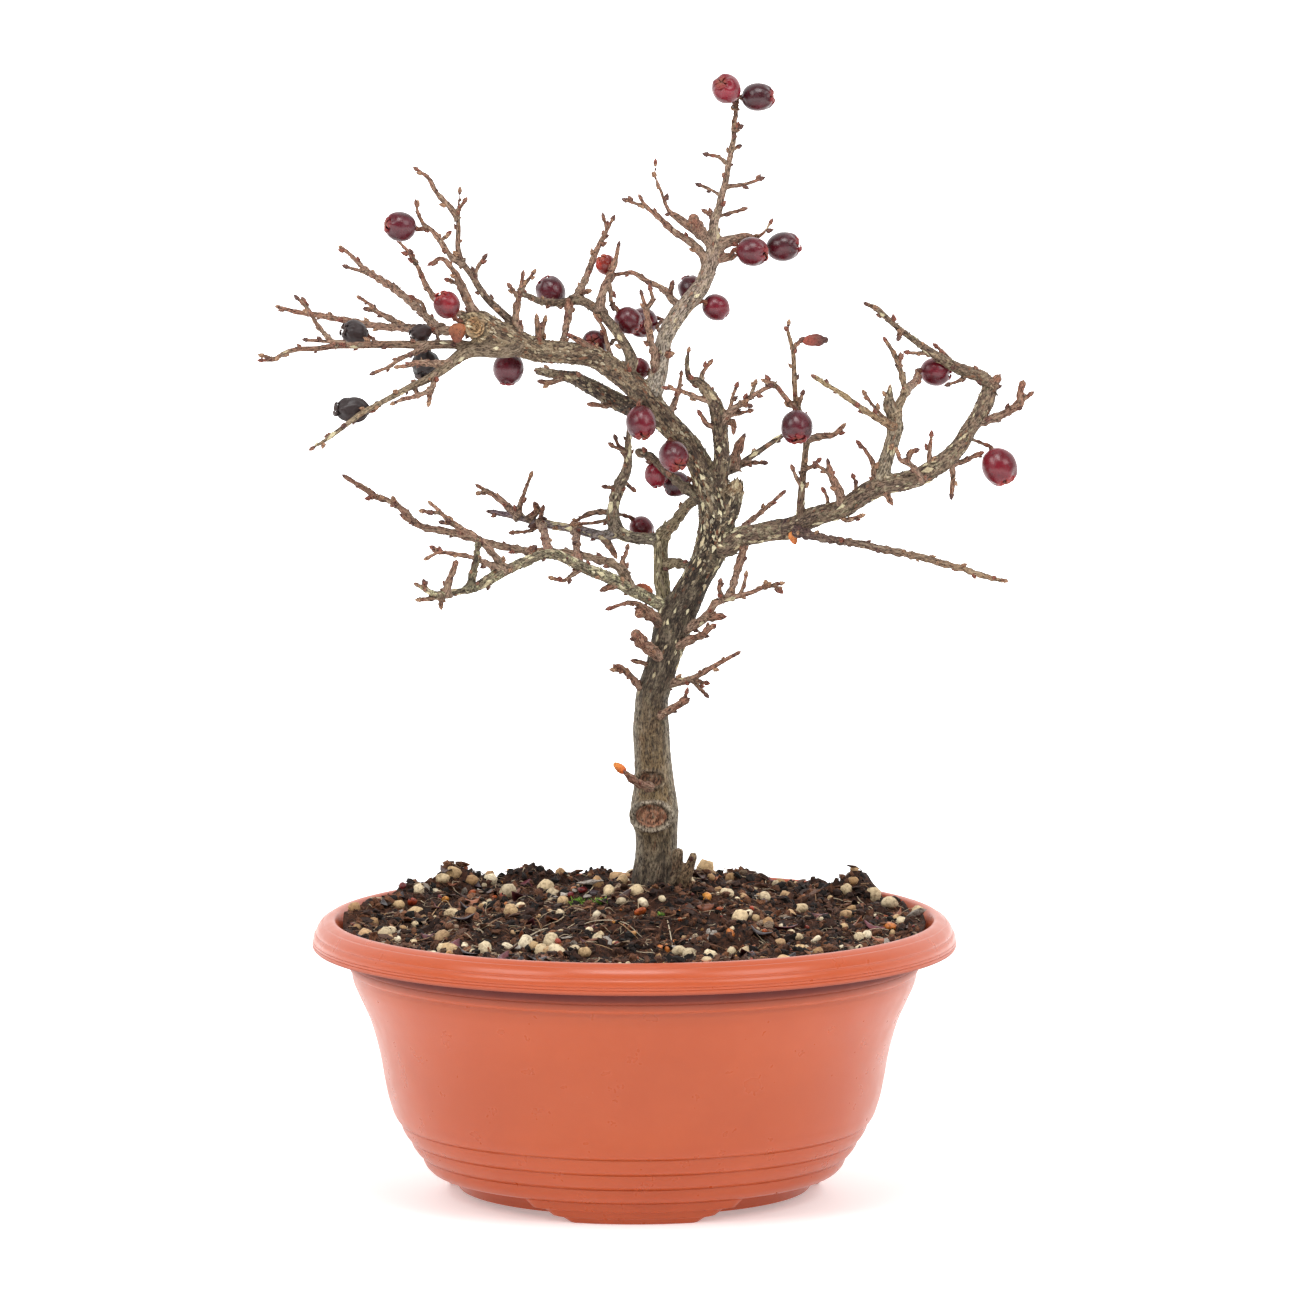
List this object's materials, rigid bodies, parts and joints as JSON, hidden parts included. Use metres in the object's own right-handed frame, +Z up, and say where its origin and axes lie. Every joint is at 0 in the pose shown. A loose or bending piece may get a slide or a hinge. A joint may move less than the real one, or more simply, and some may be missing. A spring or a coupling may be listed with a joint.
{
  "type": "cotoneaster bonsai",
  "caption": "Small leafless bonsai tree with a curved trunk, long low limbs and dark red berries, growing in soil in a round wide-rimmed plastic bowl on stepped feet.",
  "frame": {"origin": "on the surface the pot stands on, under the middle of the whole object's box", "axes": "+Z up along the pot's axis, +Y from the viewed front to the back, +X to the viewer's right"},
  "size_m": [0.243, 0.206, 0.3575],
  "materials": {
    "pot_plastic": "satin moulded",
    "bark": "rough bark",
    "soil": "damp fibrous peat with pumice",
    "berry_skin_dark": "waxy satin skin",
    "berry_skin_bright": "waxy satin skin",
    "berry_skin_orange": "waxy satin skin",
    "berry_skin_black": "wrinkled dry skin",
    "bud_scale": "thin satin bud scale",
    "dry_leaf": "dry crinkled leaf"
  },
  "bodies": {
    "root": {"pot": "pot_plastic", "tree": "bark", "soil": "soil", "berry_01": "berry_skin_dark", "berry_02": "berry_skin_bright", "berry_03": "berry_skin_black", "berry_04": "berry_skin_black", "berry_05": "berry_skin_black", "berry_06": "berry_skin_black", "berry_07": "berry_skin_dark", "berry_08": "berry_skin_orange", "berry_09": "berry_skin_bright", "berry_10": "berry_skin_dark", "berry_11": "berry_skin_dark", "berry_12": "berry_skin_dark", "berry_13": "berry_skin_dark", "berry_14": "berry_skin_dark", "berry_15": "berry_skin_dark", "berry_16": "berry_skin_dark", "berry_17": "berry_skin_dark", "berry_18": "berry_skin_dark", "berry_19": "berry_skin_dark", "berry_20": "berry_skin_dark", "berry_21": "berry_skin_dark", "berry_22": "berry_skin_dark", "berry_23": "berry_skin_bright", "berry_24": "berry_skin_dark", "berry_25": "berry_skin_bright", "berry_26": "berry_skin_dark", "berry_27": "berry_skin_dark", "trunk_bud": "bud_scale", "dry_leaf_fork": "dry_leaf", "dry_leaf_knot": "dry_leaf", "dry_leaf_right": "bud_scale", "dry_husk": "dry_leaf"}
  },
  "joints": []
}
